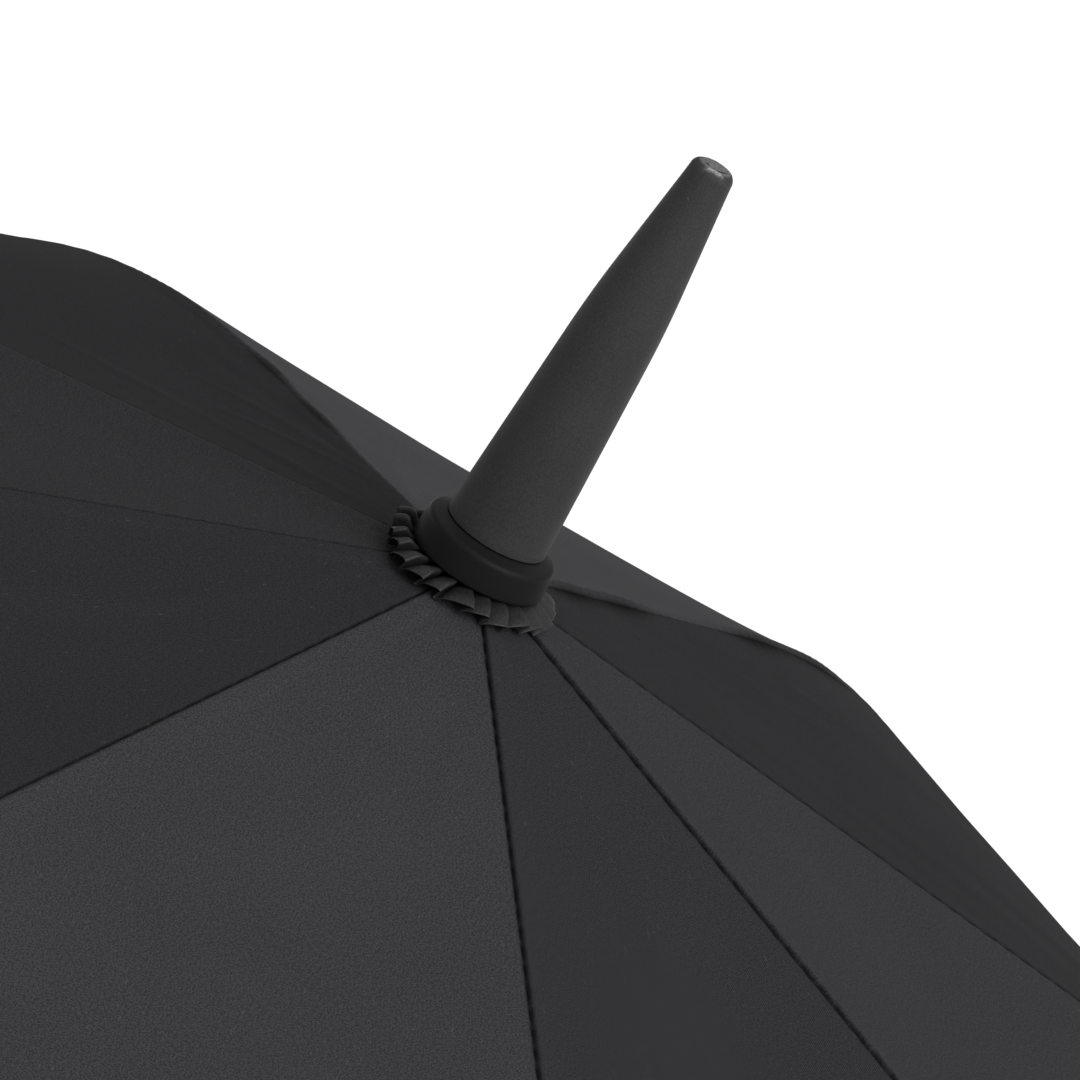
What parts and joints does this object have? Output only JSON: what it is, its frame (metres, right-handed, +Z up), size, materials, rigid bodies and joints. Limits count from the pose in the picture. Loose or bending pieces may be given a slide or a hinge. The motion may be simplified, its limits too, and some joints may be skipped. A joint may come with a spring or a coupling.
{
  "type": "golf umbrella",
  "caption": "Stick golf umbrella with a long ferrule, an arched panelled canopy, fibreglass ribs on a sliding runner and a straight push-button grip.",
  "frame": {"origin": "on the shaft's axis at the bottom of the handle's end cap, umbrella open", "axes": "+Z up the shaft to the ferrule; +X along rib 1; the button faces -Y"},
  "size_m": [1.3228, 1.3228, 1.0019],
  "materials": {
    "shaft": "black resin over fibreglass, satin gloss",
    "ferrule": "matte dark grey moulded plastic with a fine grain, rubbed shiny at the tip",
    "collar": "smooth black moulded plastic",
    "rosette": "gathered black pongee",
    "black_nylon": "black glass-filled nylon",
    "spring_steel": "bright drawn wire and pressed steel",
    "grip_foam": "closed-cell foam, matte",
    "runner_rubber": "matte black rubber",
    "button": "polished dark grey plastic",
    "strap": "black ribbon with a ribbed weave",
    "fibreglass": "black pultruded fibreglass rod",
    "fittings": "black moulded nylon",
    "stretcher_metal": "dark powder-coated steel channel",
    "canopy_dark": "black pongee twill, weave visible",
    "canopy_light": "charcoal pongee twill, smooth sheen"
  },
  "bodies": {
    "shaft": {"shaft_tube": "shaft", "ferrule": "ferrule", "ferrule_collar": "collar", "rosette": "rosette", "notch": "black_nylon", "notch_wire": "spring_steel", "notch_rivet": "spring_steel", "stop_ring": "black_nylon", "spring_seat": "spring_steel", "opening_spring": "spring_steel", "handle_core": "black_nylon", "handle_grip": "grip_foam", "end_cap": "black_nylon", "button_housing": "black_nylon", "button_spring": "spring_steel"},
    "runner": {"runner_sleeve": "black_nylon", "runner_crown": "black_nylon", "runner_grip": "runner_rubber", "runner_key": "spring_steel", "spring_follower": "black_nylon"},
    "button": {"push_button": "button", "catch_plate": "spring_steel"},
    "rib_1": {"rib_1": "fibreglass", "rib_fittings_1": "fittings", "canopy_1": "canopy_dark"},
    "rib_2": {"rib_2": "fibreglass", "rib_fittings_2": "fittings", "canopy_2": "canopy_light"},
    "rib_3": {"rib_3": "fibreglass", "rib_fittings_3": "fittings", "canopy_3": "canopy_dark"},
    "rib_4": {"rib_4": "fibreglass", "rib_fittings_4": "fittings", "canopy_4": "canopy_light"},
    "rib_5": {"rib_5": "fibreglass", "rib_fittings_5": "fittings", "canopy_5": "canopy_dark"},
    "rib_6": {"rib_6": "fibreglass", "rib_fittings_6": "fittings", "canopy_6": "canopy_light"},
    "rib_7": {"rib_7": "fibreglass", "rib_fittings_7": "fittings", "canopy_7": "canopy_dark", "tie_strap": "strap"},
    "rib_8": {"rib_8": "fibreglass", "rib_fittings_8": "fittings", "canopy_8": "canopy_light"},
    "stretcher_1": {"stretcher_1": "stretcher_metal"},
    "stretcher_2": {"stretcher_2": "stretcher_metal"},
    "stretcher_3": {"stretcher_3": "stretcher_metal"},
    "stretcher_4": {"stretcher_4": "stretcher_metal"},
    "stretcher_5": {"stretcher_5": "stretcher_metal"},
    "stretcher_6": {"stretcher_6": "stretcher_metal"},
    "stretcher_7": {"stretcher_7": "stretcher_metal"},
    "stretcher_8": {"stretcher_8": "stretcher_metal"}
  },
  "joints": [
    {"name": "runner_slide", "type": "slide", "parent": "shaft", "child": "runner", "axis": [0, 0, -1], "range_m": [0, 0.4673], "stiffness_N_per_m": 40, "springref_m": -0.3, "deforming": ["opening_spring"]},
    {"name": "button_press", "type": "slide", "parent": "shaft", "child": "button", "axis": [0, 1, 0], "range_m": [0, 0.003], "stiffness_N_per_m": 300, "springref_m": -0.002, "deforming": ["button_spring"]},
    {"name": "rib_fold_1", "type": "hinge", "parent": "shaft", "child": "rib_1", "pos_m": [0.0115, 0, 0.88273], "axis": [0, 1, 0], "range_deg": [0, 65], "deforming": ["canopy_1"]},
    {"name": "rib_fold_2", "type": "hinge", "parent": "shaft", "child": "rib_2", "pos_m": [0.00813, 0.00813, 0.88273], "axis": [-0.7071, 0.7071, 0], "range_deg": [0, 65], "deforming": ["canopy_2"]},
    {"name": "rib_fold_3", "type": "hinge", "parent": "shaft", "child": "rib_3", "pos_m": [0, 0.0115, 0.88273], "axis": [-1, 0, 0], "range_deg": [0, 65], "deforming": ["canopy_3"]},
    {"name": "rib_fold_4", "type": "hinge", "parent": "shaft", "child": "rib_4", "pos_m": [-0.00813, 0.00813, 0.88273], "axis": [-0.7071, -0.7071, 0], "range_deg": [0, 65], "deforming": ["canopy_4"]},
    {"name": "rib_fold_5", "type": "hinge", "parent": "shaft", "child": "rib_5", "pos_m": [-0.0115, 0, 0.88273], "axis": [0, -1, 0], "range_deg": [0, 65], "deforming": ["canopy_5"]},
    {"name": "rib_fold_6", "type": "hinge", "parent": "shaft", "child": "rib_6", "pos_m": [-0.00813, -0.00813, 0.88273], "axis": [0.7071, -0.7071, 0], "range_deg": [0, 65], "deforming": ["canopy_6"]},
    {"name": "rib_fold_7", "type": "hinge", "parent": "shaft", "child": "rib_7", "pos_m": [0, -0.0115, 0.88273], "axis": [1, 0, 0], "range_deg": [0, 65], "deforming": ["canopy_7"]},
    {"name": "rib_fold_8", "type": "hinge", "parent": "shaft", "child": "rib_8", "pos_m": [0.00813, -0.00813, 0.88273], "axis": [0.7071, 0.7071, 0], "range_deg": [0, 65], "deforming": ["canopy_8"]},
    {"name": "stretcher_fold_1", "type": "hinge", "parent": "rib_1", "child": "stretcher_1", "pos_m": [0.32689, 0, 0.79236], "axis": [0, 1, 0], "range_deg": [-130, 0]},
    {"name": "stretcher_fold_2", "type": "hinge", "parent": "rib_2", "child": "stretcher_2", "pos_m": [0.23115, 0.23115, 0.79236], "axis": [-0.7071, 0.7071, 0], "range_deg": [-130, 0]},
    {"name": "stretcher_fold_3", "type": "hinge", "parent": "rib_3", "child": "stretcher_3", "pos_m": [0, 0.32689, 0.79236], "axis": [-1, 0, 0], "range_deg": [-130, 0]},
    {"name": "stretcher_fold_4", "type": "hinge", "parent": "rib_4", "child": "stretcher_4", "pos_m": [-0.23115, 0.23115, 0.79236], "axis": [-0.7071, -0.7071, 0], "range_deg": [-130, 0]},
    {"name": "stretcher_fold_5", "type": "hinge", "parent": "rib_5", "child": "stretcher_5", "pos_m": [-0.32689, 0, 0.79236], "axis": [0, -1, 0], "range_deg": [-130, 0]},
    {"name": "stretcher_fold_6", "type": "hinge", "parent": "rib_6", "child": "stretcher_6", "pos_m": [-0.23115, -0.23115, 0.79236], "axis": [0.7071, -0.7071, 0], "range_deg": [-130, 0]},
    {"name": "stretcher_fold_7", "type": "hinge", "parent": "rib_7", "child": "stretcher_7", "pos_m": [0, -0.32689, 0.79236], "axis": [1, 0, 0], "range_deg": [-130, 0]},
    {"name": "stretcher_fold_8", "type": "hinge", "parent": "rib_8", "child": "stretcher_8", "pos_m": [0.23115, -0.23115, 0.79236], "axis": [0.7071, 0.7071, 0], "range_deg": [-130, 0]}
  ],
  "couplings": [
    {"joint": "rib_fold_1", "follows": "runner_slide", "rad_per_m": 2.4277},
    {"joint": "rib_fold_2", "follows": "runner_slide", "rad_per_m": 2.4277},
    {"joint": "rib_fold_3", "follows": "runner_slide", "rad_per_m": 2.4277},
    {"joint": "rib_fold_4", "follows": "runner_slide", "rad_per_m": 2.4277},
    {"joint": "rib_fold_5", "follows": "runner_slide", "rad_per_m": 2.4277},
    {"joint": "rib_fold_6", "follows": "runner_slide", "rad_per_m": 2.4277},
    {"joint": "rib_fold_7", "follows": "runner_slide", "rad_per_m": 2.4277},
    {"joint": "rib_fold_8", "follows": "runner_slide", "rad_per_m": 2.4277},
    {"joint": "stretcher_fold_1", "follows": "runner_slide", "rad_per_m": -4.8554},
    {"joint": "stretcher_fold_2", "follows": "runner_slide", "rad_per_m": -4.8554},
    {"joint": "stretcher_fold_3", "follows": "runner_slide", "rad_per_m": -4.8554},
    {"joint": "stretcher_fold_4", "follows": "runner_slide", "rad_per_m": -4.8554},
    {"joint": "stretcher_fold_5", "follows": "runner_slide", "rad_per_m": -4.8554},
    {"joint": "stretcher_fold_6", "follows": "runner_slide", "rad_per_m": -4.8554},
    {"joint": "stretcher_fold_7", "follows": "runner_slide", "rad_per_m": -4.8554},
    {"joint": "stretcher_fold_8", "follows": "runner_slide", "rad_per_m": -4.8554}
  ]
}
